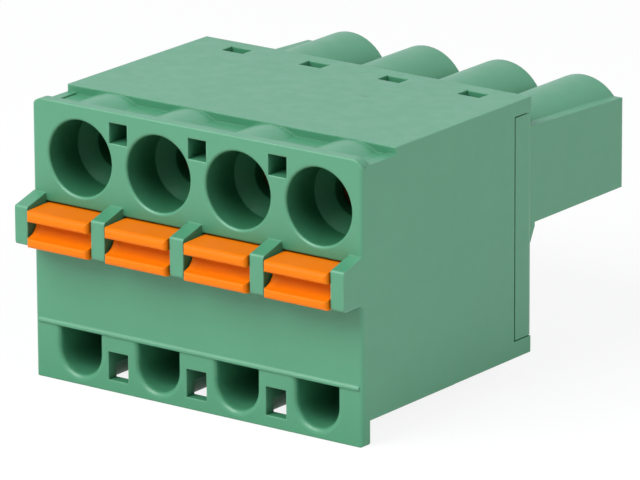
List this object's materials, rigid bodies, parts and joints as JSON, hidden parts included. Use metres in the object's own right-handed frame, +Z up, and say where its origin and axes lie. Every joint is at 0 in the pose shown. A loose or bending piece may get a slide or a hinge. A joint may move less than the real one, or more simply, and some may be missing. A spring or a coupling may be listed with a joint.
{
  "type": "pluggable terminal block",
  "caption": "Pluggable push-in terminal block with round wire entries, orange actuating levers and plug-in chambers at the rear.",
  "frame": {"origin": "centre of the bounding box at the height of the front plate's lower edge", "axes": "+X along the row of poles, +Y from the wire entries to the plug-in chambers, +Z up"},
  "size_m": [0.021, 0.0254, 0.015],
  "materials": {
    "housing_green": "satin moulded polyamide",
    "lever_orange": "satin moulded plastic",
    "spring_steel": "rolled stainless strip",
    "contact_tin": "tin-plated copper alloy"
  },
  "bodies": {
    "housing": {"main_housing": "housing_green", "contact_housing": "housing_green", "clamp_spring_1": "spring_steel", "clamp_spring_2": "spring_steel", "clamp_spring_3": "spring_steel", "clamp_spring_4": "spring_steel", "contact_1": "contact_tin", "contact_2": "contact_tin", "contact_3": "contact_tin", "contact_4": "contact_tin"},
    "lever_1_body": {"lever_1": "lever_orange"},
    "lever_2_body": {"lever_2": "lever_orange"},
    "lever_3_body": {"lever_3": "lever_orange"},
    "lever_4_body": {"lever_4": "lever_orange"}
  },
  "joints": [
    {"name": "lever_1_push", "type": "slide", "parent": "housing", "child": "lever_1_body", "axis": [0, 1, 0], "range_m": [0, 0.0015], "stiffness_N_per_m": 3000},
    {"name": "lever_2_push", "type": "slide", "parent": "housing", "child": "lever_2_body", "axis": [0, 1, 0], "range_m": [0, 0.0015], "stiffness_N_per_m": 3000},
    {"name": "lever_3_push", "type": "slide", "parent": "housing", "child": "lever_3_body", "axis": [0, 1, 0], "range_m": [0, 0.0015], "stiffness_N_per_m": 3000},
    {"name": "lever_4_push", "type": "slide", "parent": "housing", "child": "lever_4_body", "axis": [0, 1, 0], "range_m": [0, 0.0015], "stiffness_N_per_m": 3000}
  ]
}
